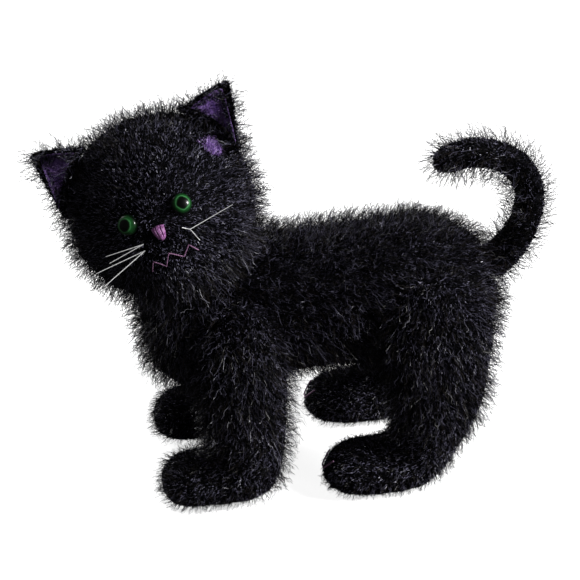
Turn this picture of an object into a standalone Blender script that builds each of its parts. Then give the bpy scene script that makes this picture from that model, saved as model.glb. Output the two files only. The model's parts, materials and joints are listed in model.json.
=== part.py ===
"""A plush cat that stands on four paws with its head turned to its left and its tail curled over its back.

The cat looks along -X, its left side is -Y and it stands on Z = 0. Shapes are worked out in millimetres and
scaled to metres when a mesh is made. Every skin panel is a sheet of pile fabric with a seam gap round it.
"""

import math

import bmesh
import bpy
from mathutils import Euler, Matrix, Vector

MM = 0.001

# Fabric and seams
SKIN = 1.2
GAP = 0.3
FILLING_DEPTH = 2.2
SWING_CLEARANCE = 0.6

# Trunk, as stations along X: x, middle height, half height, half width, tilt of the section
TRUNK = (
    (-90, 90, 1.5, 1.5, 90),
    (-87, 89, 15, 13, 90),
    (-78, 88, 29, 26, 90),
    (-60, 89, 38, 34, 90),
    (-38, 92, 37, 36, 90),
    (-10, 94.5, 34, 35, 90),
    (20, 95.5, 35, 36, 90),
    (48, 95, 36, 36, 90),
    (72, 93, 31, 31, 90),
    (84, 93, 19, 19, 90),
    (89, 93.5, 1.5, 1.5, 90),
)
GUSSET_HALF_ANGLE = 38

# Head: an ellipsoid with a low muzzle, turned, lifted and tipped on the neck
HEAD_MIDDLE = Vector((-77.5, -10, 156.5))
HEAD_FRONT = 39
HEAD_SIDE = 44.5
HEAD_UP = 43.5
HEAD_TURN = 75
HEAD_LIFT = 29.5
HEAD_TIP = -27
MUZZLE_RISE = 6
MUZZLE_WIDTH = 19
MUZZLE_DROP = 24
CROWN_GUSSET_HALF_ANGLE = 24
NECK = Vector((-66, -4, 127))
NECK_RADIUS = 18
TURN_SWING = 20
NOD_SWING = 8

# Face, measured on the head's front from its middle
EYE_PLACES = {"left": (-14.2, -7.6), "right": (11.4, -6.6)}
EYE_RADIUS = 4.8
EYE_DOME = 3.0
POST_RADIUS = 1.6
POST_LENGTH = 8.5
WASHER_RADIUS = 5.5
WASHER_THICK = 1.2
NOSE_ACROSS = -0.6
NOSE_DOWN = 15.8
NOSE_HALF_WIDTH = 2.9
NOSE_HALF_HEIGHT = 3.5
NOSE_THICK = 1.3
THREAD_RADIUS = 0.5
WHISKER_RADIUS = 0.3

# Each pair of whiskers: where it leaves the face (across, up), then its two tips in the head's frame
WHISKERS = {
    "right_upper": ((8.6, -17.3), ((-36, 27.5, -15.1), (-36, 27.1, -18.6))),
    "right_lower": ((9.2, -20.1), ((-36, 34.7, -20.4), (-37, 33.1, -27.3))),
    "left": ((-13.1, -19.4), ((-42, -36, -17.7), (-44, -16.3, -26.4))),
}
# The mouth's zigzag on the same face: its ends and corners (across, up)
MOUTH_STOPS = (
    (-11.9, -28.7), (-9.4, -25.2), (-5.2, -29), (-0.1, -25.1), (3.6, -29.7), (8, -25.6), (10.7, -29.1))

# Ears
EAR_HALF_BASE = 16.5
EAR_HEIGHT = 22.5
EAR_SKEW = 8
EAR_CUP = 4.5
EAR_RISE = {"left": 29, "right": 38}
EAR_FORWARD = {"left": 12, "right": 20}
EAR_FABRIC = 1.5
LINING_FABRIC = 0.9
LINING_MARGIN = 4.0
EAR_STAND_OFF = 1.8

# Legs: each joint's x, spread and height, then stations of x and z from it, half depth, half width, tilt
SHOULDER = (-44, 30, 89)
HIP = (52, 33, 91)
TOP_HALF_WIDTH = 16
SHOULDER_RADIUS = 23
HIP_RADIUS = 29
FRONT_LEG = (
    (1, -25, 21.5, 16, 0),
    (2, -49, 20, 16, 0),
    (0.5, -65.5, 20.3, 16, -16),
    (-3.5, -75.5, 20.5, 16.5, -37),
    (-15, -77, 15, 17, -62),
    (-28, -77.7, 12.8, 17, -90),
    (-36.5, -78, 9.5, 13, -90),
    (-41, -78.5, 1.5, 1.5, -90),
)
HIND_LEG = (
    (2, -25, 25.5, 16, 0),
    (2, -47, 21, 16, -8),
    (-4, -64, 18.3, 16, -14),
    (-11.5, -75, 17.6, 16.5, -39),
    (-21, -78.8, 16, 17, -58),
    (-38, -79, 13.4, 17, -90),
    (-49, -79.5, 10, 13.5, -90),
    (-56, -80.5, 1.5, 1.5, -90),
)
LEG_SWING = 12
DOME_STEPS = (0.995, 0.93, 0.75, 0.42, 0.0)

# Tail, as x, z and radius along its curl
TAIL_ROOT = Vector((83, 0, 104))
TAIL_ROOT_RADIUS = 9
TAIL_TURN = 20
TAIL = (
    (0, 0, 8.8),
    (8, 6, 8.6),
    (16, 16, 8.0),
    (21, 29, 7.4),
    (21.5, 42, 7.2),
    (16, 54, 7.2),
    (5, 62, 7.2),
    (-9, 64.5, 7.2),
    (-20, 62, 6.8),
    (-25, 59, 5.0),
    (-27, 57.5, 1.2),
)


def clear_scene():
    for old in list(bpy.data.objects):
        bpy.data.objects.remove(old, do_unlink=True)


def material(name, colour, roughness):
    made = bpy.data.materials.new(name)
    made.use_nodes = True
    shader = made.node_tree.nodes["Principled BSDF"]
    shader.inputs["Base Color"].default_value = (*colour, 1)
    shader.inputs["Roughness"].default_value = roughness
    return made


def pivot(name, parent, place, turn=(0, 0, 0)):
    """An empty on a joint, placed in millimetres in its parent's frame."""
    made = bpy.data.objects.new(name, None)
    bpy.context.collection.objects.link(made)
    made.parent = parent
    made.location = Vector(place) * MM
    made.rotation_euler = Euler([math.radians(a) for a in turn])
    return made


def add_object(name, parent, points, faces, finish):
    """One smooth-shaded solid from points in millimetres."""
    mesh = bpy.data.meshes.new(name)
    mesh.from_pydata([Vector(p) * MM for p in points], [], faces)
    work = bmesh.new()
    work.from_mesh(mesh)
    bmesh.ops.recalc_face_normals(work, faces=work.faces)
    work.to_mesh(mesh)
    work.free()
    mesh.shade_smooth()
    mesh.set_sharp_from_angle(angle=math.radians(50))
    mesh.materials.append(finish)
    made = bpy.data.objects.new(name, mesh)
    bpy.context.collection.objects.link(made)
    made.parent = parent
    return made


def cut(target, cutter):
    """Take the cutter's shape out of the target."""
    cutter.hide_render = True
    cutter.display_type = "WIRE"
    boolean = target.modifiers.new("Cut_" + cutter.name, "BOOLEAN")
    boolean.operation = "DIFFERENCE"
    boolean.solver = "EXACT"
    boolean.object = cutter


def between(values, u):
    """A smooth curve through evenly spaced values, at u from 0 to 1."""
    last = len(values) - 1
    at = min(max(u, 0.0), 1.0) * last
    k = min(int(at), last - 1)
    t = at - k
    a, b = values[k], values[k + 1]
    before = values[k - 1] if k else 2 * a - b
    after = values[k + 2] if k + 2 <= last else 2 * b - a
    bend = 2 * before - 5 * a + 4 * b - after
    twist = 3 * a - before - 3 * b + after
    return a + 0.5 * t * (b - before + t * (bend + t * twist))


def loft(stations, side=0.0, floor=None):
    """A surface (u along the stations, v round the section), and the middle of each section."""
    columns = list(zip(*stations))

    def middle(u):
        return Vector((between(columns[0], u), side, between(columns[1], u)))

    def surface(u, v, depth=0.0):
        tilt = math.radians(between(columns[4], u))
        along = Vector((math.cos(tilt), 0, math.sin(tilt))) * max(between(columns[2], u), 0.8)
        across = Vector((0, max(between(columns[3], u), 0.8), 0))
        point = middle(u) + along * math.cos(v) + across * math.sin(v)
        if floor is not None:
            point.z = max(point.z, floor + depth)
        return point

    return surface, middle


def outward(surface, middle):
    """The surface's unit normal as a function of u and v, pointing away from the section's middle."""
    step = 0.002

    def cross(u, v):
        along = surface(min(u + step, 1), v) - surface(max(u - step, 0), v)
        across = surface(u, v + step) - surface(u, v - step)
        return along.cross(across).normalized()

    sign = 1 if cross(0.5, 0.3).dot(surface(0.5, 0.3) - middle(0.5)) > 0 else -1
    return lambda u, v: cross(u, v) * sign


def inset_point(surface, normal, u, v, depth):
    point = surface(u, v) - normal(u, v) * depth
    lowest = surface(u, v, depth)
    if lowest.z > surface(u, v, -1000).z:
        point.z = max(point.z, lowest.z)
    return point


def spread(first, last, count):
    return [first + (last - first) * i / count for i in range(count + 1)]


def panel(name, parent, shape, rows, turns, steps, finish, depth=SKIN):
    """A sheet of fabric over part of a surface, from angle turns[0] to turns[1], short of its seams."""
    surface, middle = shape
    normal = outward(surface, middle)
    outer, inner = [], []
    for u in rows:
        mid = 0.5 * (turns[0] + turns[1])
        speed = (surface(u, mid + 0.01) - surface(u, mid - 0.01)).length / 0.02
        trim = 0.5 * GAP / max(speed, 0.5)
        for v in spread(turns[0] + trim, turns[1] - trim, steps):
            outer.append(surface(u, v))
            inner.append(inset_point(surface, normal, u, v, depth))
    return sheet(name, parent, outer, inner, len(rows), steps + 1, finish)


def sheet(name, parent, outer, inner, rows, columns, finish):
    """A closed sheet between two grids of points."""
    size = rows * columns
    faces = []
    for i in range(rows - 1):
        for j in range(columns - 1):
            a = i * columns + j
            quad = (a, a + 1, a + columns + 1, a + columns)
            faces.append(quad)
            faces.append(tuple(size + k for k in reversed(quad)))
    rim = [j for j in range(columns)]
    rim += [i * columns + columns - 1 for i in range(1, rows)]
    rim += [(rows - 1) * columns + j for j in range(columns - 2, -1, -1)]
    rim += [i * columns for i in range(rows - 2, 0, -1)]
    for k, a in enumerate(rim):
        b = rim[(k + 1) % len(rim)]
        faces.append((b, a, size + a, size + b))
    return add_object(name, parent, outer + inner, faces, finish)


def filling(name, parent, shape, rows, steps, finish, depth):
    """A closed solid that lies this deep under a surface; a negative depth stands outside it."""
    surface, middle = shape
    normal = outward(surface, middle)
    points = []
    for u in rows:
        for v in spread(0, math.tau, steps)[:-1]:
            points.append(inset_point(surface, normal, u, v, depth))
    faces = [tuple(range(steps)), tuple(len(points) - 1 - j for j in range(steps))]
    for i in range(len(rows) - 1):
        for j in range(steps):
            a, b = i * steps + j, i * steps + (j + 1) % steps
            faces.append((a, b, b + steps, a + steps))
    return add_object(name, parent, points, faces, finish)


def turned(name, parent, profile, steps, finish, place=None):
    """A body turned about local Z from a profile of (radius, height) that starts and ends on the axis."""
    points = [Vector((0, 0, profile[0][1])), Vector((0, 0, profile[-1][1]))]
    rings = profile[1:-1]
    for radius, height in rings:
        for v in spread(0, math.tau, steps)[:-1]:
            points.append(Vector((radius * math.cos(v), radius * math.sin(v), height)))
    faces = []
    last = 2 + (len(rings) - 1) * steps
    for j in range(steps):
        k = (j + 1) % steps
        faces.append((0, 2 + j, 2 + k))
        faces.append((1, last + k, last + j))
        for i in range(len(rings) - 1):
            a = 2 + i * steps
            faces.append((a + j, a + steps + j, a + steps + k, a + k))
    made = add_object(name, parent, points, faces, finish)
    if place is not None:
        made.matrix_local = place
    return made


def ball(name, parent, middle, radius, finish, steps=18):
    heights = spread(0, math.pi, steps // 2)
    profile = [(radius * math.sin(a), radius * math.cos(a)) for a in heights]
    return turned(name, parent, profile, steps, finish, Matrix.Translation(Vector(middle) * MM))


def tube(name, parent, path, radius, sides, finish):
    """A thread or filament along a path, tapered to blunt ends."""
    points, faces = [], []
    side = Vector((0, 0, 1))
    for i, point in enumerate(path):
        ahead = path[min(i + 1, len(path) - 1)] - path[max(i - 1, 0)]
        if ahead.length < 1e-6:
            ahead = path[min(i + 1, len(path) - 1)] - point
        ahead.normalize()
        side = (side - ahead * side.dot(ahead)).normalized()
        other = ahead.cross(side)
        for v in spread(0, math.tau, sides)[:-1]:
            points.append(point + (side * math.cos(v) + other * math.sin(v)) * radius)
    for i in range(len(path) - 1):
        for j in range(sides):
            a, b = i * sides + j, i * sides + (j + 1) % sides
            faces.append((a, b, b + sides, a + sides))
    faces.append(tuple(range(sides)))
    faces.append(tuple(len(points) - 1 - j for j in range(sides)))
    return add_object(name, parent, points, faces, finish)


def swing_hull(name, parent, points, poses, grow_from):
    """The space that a body sweeps between its poses, with running clearance, as a cutter."""
    swept = [pose @ (p + (p - grow_from(p)).normalized() * SWING_CLEARANCE) for pose in poses for p in points]
    work = bmesh.new()
    for p in swept:
        work.verts.new(p * MM)
    found = bmesh.ops.convex_hull(work, input=work.verts)
    spare = {g for g in found["geom_interior"] + found["geom_unused"] if isinstance(g, bmesh.types.BMVert)}
    bmesh.ops.delete(work, geom=list(spare), context="VERTS")
    bmesh.ops.recalc_face_normals(work, faces=work.faces)
    mesh = bpy.data.meshes.new(name)
    work.to_mesh(mesh)
    work.free()
    made = bpy.data.objects.new(name, mesh)
    bpy.context.collection.objects.link(made)
    made.parent = parent
    made.hide_render = True
    made.display_type = "WIRE"
    return made


def turn_about(axis, degrees):
    return Matrix.Rotation(math.radians(degrees), 4, axis)


# Trunk


def make_trunk(root, finishes):
    shape = loft(TRUNK)
    rows = spread(0.012, 0.988, 18)
    half = math.radians(GUSSET_HALF_ANGLE)
    pieces = [
        panel("body_side_right", root, shape, rows, (0, math.pi - half), 7, finishes["pile"]),
        panel("body_side_left", root, shape, rows, (math.pi + half, math.tau), 7, finishes["pile"]),
        panel("belly_gusset", root, shape, rows[2:-2], (math.pi - half, math.pi + half), 4, finishes["pile"]),
        filling("body_stuffing", root, shape, rows[1:-1], 16, finishes["fibre"], FILLING_DEPTH),
    ]
    return pieces


# Legs


def leg_stations(radius, lower):
    """The leg's stations: a dome of revolution about the joint's axis, then the limb and the paw."""
    dome = []
    for share in DOME_STEPS:
        ring = math.sqrt(1 - share * share)
        dome.append((0, radius * share, radius * ring, TOP_HALF_WIDTH * ring, 0))
    return tuple(dome) + lower


def make_leg(name, root, joint, side, radius, lower, finishes, trunk):
    x, y, z = joint
    place = pivot(name + "_joint", root, (x, side * y, z))
    shape = loft(leg_stations(radius, lower), floor=-z)
    rows = spread(0.01, 0.992, 17)
    inside = (math.pi, math.tau) if side > 0 else (0, math.pi)
    outside = (0, math.pi) if side > 0 else (math.pi, math.tau)
    panel(name + "_outer", place, shape, rows, outside, 6, finishes["pile"])
    panel(name + "_inner", place, shape, rows, inside, 6, finishes["pile"])
    filling(name + "_stuffing", place, shape, rows[1:-1], 12, finishes["fibre"], FILLING_DEPTH)
    surface, middle = shape
    upper = [u for u in spread(0, 1, 16) if middle(u).z > -60]
    points = [surface(u, v) for u in upper for v in spread(0, math.tau, 12)[:-1]]
    poses = [turn_about("Y", a) for a in (-LEG_SWING, 0, LEG_SWING)]
    pocket = swing_hull(name + "_pocket", place, points, poses, lambda p: Vector((0, 0, min(p.z, 0))))
    for piece in trunk:
        cut(piece, pocket)
    return place


def make_claw_thread(name, place, lower, radius, finish):
    """One mauve thread that shows as two claw stitches over the toe."""
    surface, middle = loft(leg_stations(radius, lower))
    normal = outward(surface, middle)
    path = []
    for v in (-28, 24):
        sign = 1 if v < 0 else -1
        for step in range(-3, 4):
            u = 0.955 + 0.009 * step * sign
            angle = math.pi + math.radians(v)
            path.append(surface(u, angle) + normal(u, angle) * (THREAD_RADIUS + GAP + 0.15))
    return tube(name, place, path, THREAD_RADIUS, 5, finish)


# Head


def head_surface():
    """The head as a surface round its own middle: u from the face to the nape, v round from the crown."""
    toward = Vector((-HEAD_FRONT, 0, -MUZZLE_DROP)).normalized()

    def radius(direction):
        flat = Vector((direction.x / HEAD_FRONT, direction.y / HEAD_SIDE, direction.z / HEAD_UP))
        off = (direction - toward).length * HEAD_FRONT
        return 1 / flat.length + MUZZLE_RISE * math.exp(-((off / MUZZLE_WIDTH) ** 2))

    def surface(u, v, depth=0.0):
        a = u * math.pi
        direction = Vector((-math.cos(a), math.sin(a) * math.sin(v), math.sin(a) * math.cos(v)))
        return direction * radius(direction)

    def on_face(y, z, lift=0.0):
        """The point of the face at this place across and up, lifted off along the surface's normal."""

        def foot(a, b):
            x = -HEAD_FRONT
            for _ in range(12):
                reach = radius(Vector((x, a, b)).normalized())
                x = -math.sqrt(max(reach * reach - a * a - b * b, 1.0))
            return Vector((x, a, b))

        along = foot(y + 0.2, z) - foot(y - 0.2, z)
        up = foot(y, z + 0.2) - foot(y, z - 0.2)
        return foot(y, z) + up.cross(along).normalized() * lift

    return (surface, lambda u: Vector((0, 0, 0))), on_face


def make_head(head, finishes):
    shape, _ = head_surface()
    rows = spread(0.01, 0.985, 13)
    half = math.radians(CROWN_GUSSET_HALF_ANGLE)
    return [
        panel("head_gusset", head, shape, rows, (-half, half), 2, finishes["pile"]),
        panel("head_side_right", head, shape, rows, (half, math.pi), 8, finishes["pile"]),
        panel("head_side_left", head, shape, rows, (-math.pi, -half), 8, finishes["pile"]),
        filling("head_stuffing", head, shape, rows[1:-1], 16, finishes["fibre"], FILLING_DEPTH),
    ]


def make_neck_pockets(neck, trunk, head_pieces):
    """Room in the trunk for the turning, nodding head, and a ball joint's room in both for the neck."""
    surface = head_surface()[0][0]
    points = [surface(u, v) * 1.02 for u in spread(0, 1, 13) for v in spread(0, math.tau, 17)[:-1]]
    axis = (HEAD_MIDDLE - NECK).normalized()
    frame = Euler([math.radians(a) for a in (HEAD_TIP, HEAD_LIFT, HEAD_TURN)]).to_matrix().to_4x4()
    stand = Matrix.Translation(HEAD_MIDDLE - NECK) @ frame
    nod_axis = frame.to_3x3() @ Vector((0, 1, 0))
    poses = []
    for turn in (-TURN_SWING, 0, TURN_SWING):
        for nod in (-NOD_SWING, 0, NOD_SWING):
            turned_head = Matrix.Rotation(math.radians(turn), 4, axis)
            poses.append(turned_head @ Matrix.Rotation(math.radians(nod), 4, nod_axis) @ stand)
    hull = swing_hull("head_room", neck, points, poses, lambda p: Vector((0, 0, 0)))
    room = ball("neck_room", neck, (0, 0, 0), NECK_RADIUS + SWING_CLEARANCE, None)
    for piece in trunk:
        cut(piece, hull)
        cut(piece, room)
    for piece in head_pieces:
        cut(piece, room)


def aimed(point, normal):
    """A frame at a point on the head with local Z along the normal."""
    return Matrix.Translation(point * MM) @ normal.to_track_quat("Z", "Y").to_matrix().to_4x4()


def make_eye(side_name, head, on_face, head_pieces, finishes):
    """A safety eye: a domed button whose post passes the skin and takes a lock washer inside."""
    y, z = EYE_PLACES[side_name]
    seat = on_face(y, z)
    normal = (on_face(y, z, 1.0) - seat).normalized()
    place = aimed(seat, normal)
    base = 2 * GAP
    rise = [math.radians(a) for a in spread(0, 80, 4)]
    dome = [(EYE_RADIUS * math.sin(a), base + 0.6 + EYE_DOME * math.cos(a)) for a in rise]
    profile = dome + [(EYE_RADIUS, base), (POST_RADIUS, base), (POST_RADIUS, -POST_LENGTH), (0, -POST_LENGTH)]
    turned("eye_" + side_name, head, profile, 14, finishes["eye"], place)

    top = -(SKIN + 3 * GAP)
    hole, rim = POST_RADIUS + GAP, WASHER_RADIUS
    ring = []
    for radius, height in ((hole, top), (rim, top), (rim, top - WASHER_THICK), (hole, top - WASHER_THICK)):
        ring.append((radius, height))
    washer_ring("eye_washer_" + side_name, head, ring, 14, finishes["washer"], place)

    bore_top, bore_end = 2, -(POST_LENGTH + 2 * GAP)
    shaft = [(0, bore_top), (hole, bore_top), (hole, bore_end), (0, bore_end)]
    bore = turned("post_bore_" + side_name, head, shaft, 12, None, place)
    wide, room_end = rim + GAP, top - WASHER_THICK - GAP
    stepped = [(0, bore_top), (wide, bore_top), (wide, room_end)]
    stepped += [(hole, room_end), (hole, bore_end), (0, bore_end)]
    washer_room = turned("washer_room_" + side_name, head, stepped, 12, None, place)
    for piece in head_pieces[:-1]:
        cut(piece, bore)
    cut(head_pieces[-1], washer_room)


def washer_ring(name, parent, ring, steps, finish, place):
    """A ring of the closed outline that ring gives, turned about local Z."""
    points = []
    for radius, height in ring:
        for v in spread(0, math.tau, steps)[:-1]:
            points.append(Vector((radius * math.cos(v), radius * math.sin(v), height)))
    faces = []
    for i in range(len(ring)):
        for j in range(steps):
            k = (j + 1) % steps
            a, b = i * steps, ((i + 1) % len(ring)) * steps
            faces.append((a + j, b + j, b + k, a + k))
    made = add_object(name, parent, points, faces, finish)
    made.matrix_local = place


def make_nose(head, on_face, finish):
    """The stitched nose pad: wide at the top and narrow at the bottom, crowned."""
    rows, columns = 6, 6
    outer, inner = [], []
    for i in range(rows):
        t = i / (rows - 1)
        width = NOSE_HALF_WIDTH * (1.0 - 0.75 * t * t) * (0.8 + 0.2 * math.sin(math.pi * min(t * 2, 1)))
        for j in range(columns):
            s = 2 * j / (columns - 1) - 1
            crown = (1 - s**4) * (1 - (2 * t - 1) ** 4)
            place = (NOSE_ACROSS + s * width, NOSE_HALF_HEIGHT * (1 - 2 * t) - NOSE_DOWN)
            outer.append(on_face(*place, GAP + 0.5 + (NOSE_THICK - 0.5) * crown))
            inner.append(on_face(*place, GAP))
    sheet("nose_embroidery", head, outer, inner, rows, columns, finish)


def along_face(on_face, stops, lift, steps=3):
    """A path on the face through (across, up) stops."""
    path = []
    for (y0, z0), (y1, z1) in zip(stops, stops[1:]):
        for t in spread(0, 1, steps)[:-1]:
            path.append(on_face(y0 + (y1 - y0) * t, z0 + (z1 - z0) * t, lift))
    path.append(on_face(*stops[-1], lift))
    return path


def make_mouth(head, on_face, finish):
    path = along_face(on_face, MOUTH_STOPS, THREAD_RADIUS + GAP + 0.1)
    tube("mouth_thread", head, path, THREAD_RADIUS, 5, finish)


def make_whiskers(name, head, on_face, root_place, tips, finish):
    """A doubled length of filament: two bristles that meet where they leave the cheek."""
    root_point = on_face(*root_place, WHISKER_RADIUS + GAP + 0.2)
    out = (on_face(*root_place, 2.0) - on_face(*root_place)).normalized()
    path = []
    first, second = Vector(tips[0]), Vector(tips[1])
    for t in spread(1, 0, 5)[:-1]:
        path.append(root_point.lerp(first, t) + out * 5 * t * (1 - t))
    path.append(root_point)
    for t in spread(0, 1, 5)[1:]:
        path.append(root_point.lerp(second, t) + out * 5 * t * (1 - t))
    tube(name, head, path, WHISKER_RADIUS, 5, finish)


def make_ear(side_name, side, head, finishes):
    """A cupped pile-fabric back and a purple lining on a fold line along the head."""
    rise = math.radians(EAR_RISE[side_name])
    out = Vector((0, side * math.cos(rise), math.sin(rise)))
    ahead = EAR_FORWARD[side_name]
    shrunk = math.sqrt(1 - (ahead / HEAD_FRONT) ** 2)
    reach = shrunk / Vector((0, out.y / HEAD_SIDE, out.z / HEAD_UP)).length
    forward = Vector((-1, 0, 0))
    frame = Matrix((forward.cross(out), forward, out)).transposed().to_4x4()
    frame.translation = (out * reach + forward * ahead) * MM
    place = pivot("ear_" + side_name + "_fold_line", head, (0, 0, 0))
    place.matrix_local = frame

    def leaf(s, t, lift, shrink):
        half = (EAR_HALF_BASE - shrink) * (1 - t) ** 0.85 + 1.2 * (1 - t)
        height = EAR_STAND_OFF + shrink + (EAR_HEIGHT - 2.2 * shrink) * t
        sag = 2.6 * s * s * (1 - t)
        cup = EAR_CUP * s * s * (1 - t) ** 0.5
        return Vector((s * half - side * EAR_SKEW * t, cup + lift, height - sag))

    def leaf_sheet(name, near, far, shrink, finish):
        rows, columns = 7, 6
        outer, inner = [], []
        for i in range(rows):
            t = 0.97 * i / (rows - 1)
            for j in range(columns):
                s = 2 * j / (columns - 1) - 1
                outer.append(leaf(s, t, far, shrink))
                inner.append(leaf(s, t, near, shrink))
        sheet(name, place, outer, inner, rows, columns, finish)

    leaf_sheet("ear_back_" + side_name, -EAR_FABRIC, 0, 0, finishes["pile"])
    leaf_sheet("ear_lining_" + side_name, GAP, GAP + LINING_FABRIC, LINING_MARGIN, finishes["lining"])


# Tail


def tail_stations():
    """The tail's stations with each section square to the curl."""
    made = []
    angle = 0.0
    for i, (x, z, radius) in enumerate(TAIL):
        before, after = TAIL[max(i - 1, 0)], TAIL[min(i + 1, len(TAIL) - 1)]
        heading = math.degrees(math.atan2(after[1] - before[1], after[0] - before[0]))
        while heading < angle - 180:
            heading += 360
        angle = heading
        made.append((x, z, radius, radius, heading + 90))
    return tuple(made)


def make_tail(root, finishes, trunk):
    place = pivot("tail_joint", root, TAIL_ROOT)
    shape = loft(tail_stations())
    surface, middle = shape
    rows = spread(0.03, 0.99, 20)
    panel("tail_skin", place, shape, rows, (0, math.tau), 10, finishes["pile"])
    filling("tail_stuffing", place, shape, rows[:-1], 8, finishes["fibre"], FILLING_DEPTH)
    points = [surface(u, v) for u in spread(0, 0.25, 5) for v in spread(0, math.tau, 12)[:-1]]
    points += [TAIL_ROOT_RADIUS * Vector((math.cos(a), math.sin(a), 0)) for a in spread(0, math.tau, 12)]
    poses = [turn_about("Z", a) for a in (-TAIL_TURN, 0, TAIL_TURN)]
    pocket = swing_hull("tail_pocket", place, points, poses, lambda p: Vector((p.x * 0.5, 0, p.z * 0.5)))
    for piece in trunk:
        cut(piece, pocket)


def rest_on_origin(root):
    """Put the middle of the cat's footprint box at the origin, with its soles on Z = 0."""
    bpy.context.view_layer.update()
    graph = bpy.context.evaluated_depsgraph_get()
    corners = []
    for found in bpy.context.scene.objects:
        if found.type == "MESH" and not found.hide_render:
            seen = found.evaluated_get(graph)
            corners += [seen.matrix_world @ v.co for v in seen.data.vertices]
    low = Vector([min(c[k] for c in corners) for k in range(3)])
    high = Vector([max(c[k] for c in corners) for k in range(3)])
    root.location = -Vector(((low.x + high.x) / 2, (low.y + high.y) / 2, low.z))


def main():
    clear_scene()
    finishes = {
        "pile": material("black_pile_fabric", (0.012, 0.011, 0.014), 0.8),
        "lining": material("purple_fabric", (0.2, 0.08, 0.36), 0.7),
        "fibre": material("polyester_fibre", (0.85, 0.85, 0.83), 0.9),
        "eye": material("green_gloss_plastic", (0.03, 0.2, 0.05), 0.1),
        "washer": material("white_plastic", (0.8, 0.8, 0.78), 0.5),
        "nose": material("pink_satin_thread", (0.55, 0.2, 0.52), 0.4),
        "thread": material("mauve_thread", (0.45, 0.22, 0.38), 0.5),
        "whisker": material("white_filament", (0.8, 0.8, 0.8), 0.3),
    }
    root = pivot("plush_cat", None, (0, 0, 0))
    trunk = make_trunk(root, finishes)
    for side_name, side in (("left", -1), ("right", 1)):
        make_leg("leg_front_" + side_name, root, SHOULDER, side, SHOULDER_RADIUS, FRONT_LEG, finishes, trunk)
        hind = make_leg("leg_hind_" + side_name, root, HIP, side, HIP_RADIUS, HIND_LEG, finishes, trunk)
        make_claw_thread("claw_thread_" + side_name, hind, HIND_LEG, HIP_RADIUS, finishes["thread"])
    make_tail(root, finishes, trunk)

    neck = pivot("neck_joint", root, NECK)
    ball("neck_stuffing", neck, (0, 0, 0), NECK_RADIUS, finishes["fibre"])
    head = pivot("head_frame", neck, HEAD_MIDDLE - NECK, (HEAD_TIP, HEAD_LIFT, HEAD_TURN))
    head_pieces = make_head(head, finishes)
    make_neck_pockets(neck, trunk, head_pieces)
    on_face = head_surface()[1]
    for side_name, side in (("left", -1), ("right", 1)):
        make_eye(side_name, head, on_face, head_pieces, finishes)
        make_ear(side_name, side, head, finishes)
    make_nose(head, on_face, finishes["nose"])
    make_mouth(head, on_face, finishes["thread"])
    for name, (root_place, tips) in WHISKERS.items():
        make_whiskers("whiskers_" + name, head, on_face, root_place, tips, finishes["whisker"])
    rest_on_origin(root)


main()
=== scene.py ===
import json
import math

import bmesh
import bpy
import numpy as np
from mathutils import Euler, Matrix, Vector
from mathutils.bvhtree import BVHTree


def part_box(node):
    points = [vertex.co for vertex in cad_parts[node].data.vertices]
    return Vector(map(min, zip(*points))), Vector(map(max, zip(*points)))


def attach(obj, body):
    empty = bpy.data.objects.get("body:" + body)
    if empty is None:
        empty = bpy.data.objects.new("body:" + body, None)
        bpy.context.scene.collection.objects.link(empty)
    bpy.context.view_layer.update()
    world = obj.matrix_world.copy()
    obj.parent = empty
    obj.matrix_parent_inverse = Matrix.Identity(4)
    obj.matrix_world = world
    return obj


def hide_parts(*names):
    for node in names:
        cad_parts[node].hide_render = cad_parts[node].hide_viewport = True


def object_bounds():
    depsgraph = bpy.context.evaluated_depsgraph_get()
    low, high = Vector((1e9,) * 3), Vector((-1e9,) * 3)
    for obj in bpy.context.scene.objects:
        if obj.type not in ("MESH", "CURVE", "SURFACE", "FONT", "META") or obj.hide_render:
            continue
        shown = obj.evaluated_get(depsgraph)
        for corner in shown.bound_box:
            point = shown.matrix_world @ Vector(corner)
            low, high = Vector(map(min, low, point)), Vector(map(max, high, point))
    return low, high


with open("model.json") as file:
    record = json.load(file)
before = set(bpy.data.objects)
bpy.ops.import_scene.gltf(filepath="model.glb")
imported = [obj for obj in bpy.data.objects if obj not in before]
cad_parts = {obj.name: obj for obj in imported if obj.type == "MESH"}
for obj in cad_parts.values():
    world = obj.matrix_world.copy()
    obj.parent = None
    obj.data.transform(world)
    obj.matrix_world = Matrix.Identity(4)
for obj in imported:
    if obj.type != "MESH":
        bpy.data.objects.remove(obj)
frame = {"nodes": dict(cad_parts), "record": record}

cad_low, cad_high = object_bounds()

# ---------------------------------------------------------------------------------------------
# The stuffed skins: trunk, head, four legs and tail. Each is a bag of black pile knit, cut as
# panels, sewn inside out, turned and packed with loose polyester fibre. The real bag swells
# between its seams; here each is one closed skin over its CAD panels and stuffing, and the pile hides the
# seams.

SKIN_CELL, SKIN_ROUNDS = 0.0016, 6
LEGS = tuple(f"leg_{end}_{side}" for end in ("front", "hind") for side in ("left", "right"))
SKINS = {
    "trunk": ("body_side_left", "body_side_right", "belly_gusset", "body_stuffing"),
    "head": ("head_side_left", "head_side_right", "head_gusset", "head_stuffing"),
    "tail": ("tail_skin", "tail_stuffing"),
}
for leg in LEGS:
    SKINS[leg] = (leg + "_outer", leg + "_inner", leg + "_stuffing")


def put(name, mesh):
    """An object at the origin that holds this mesh."""
    made = bpy.data.objects.new(name, mesh)
    bpy.context.scene.collection.objects.link(made)
    return made


def settled(made):
    """The object's mesh with its modifiers applied, and the modifiers gone."""
    graph = bpy.context.evaluated_depsgraph_get()
    graph.update()
    mesh = bpy.data.meshes.new_from_object(made.evaluated_get(graph))
    old = made.data
    made.modifiers.clear()
    made.data = mesh
    bpy.data.meshes.remove(old)
    return made


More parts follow.
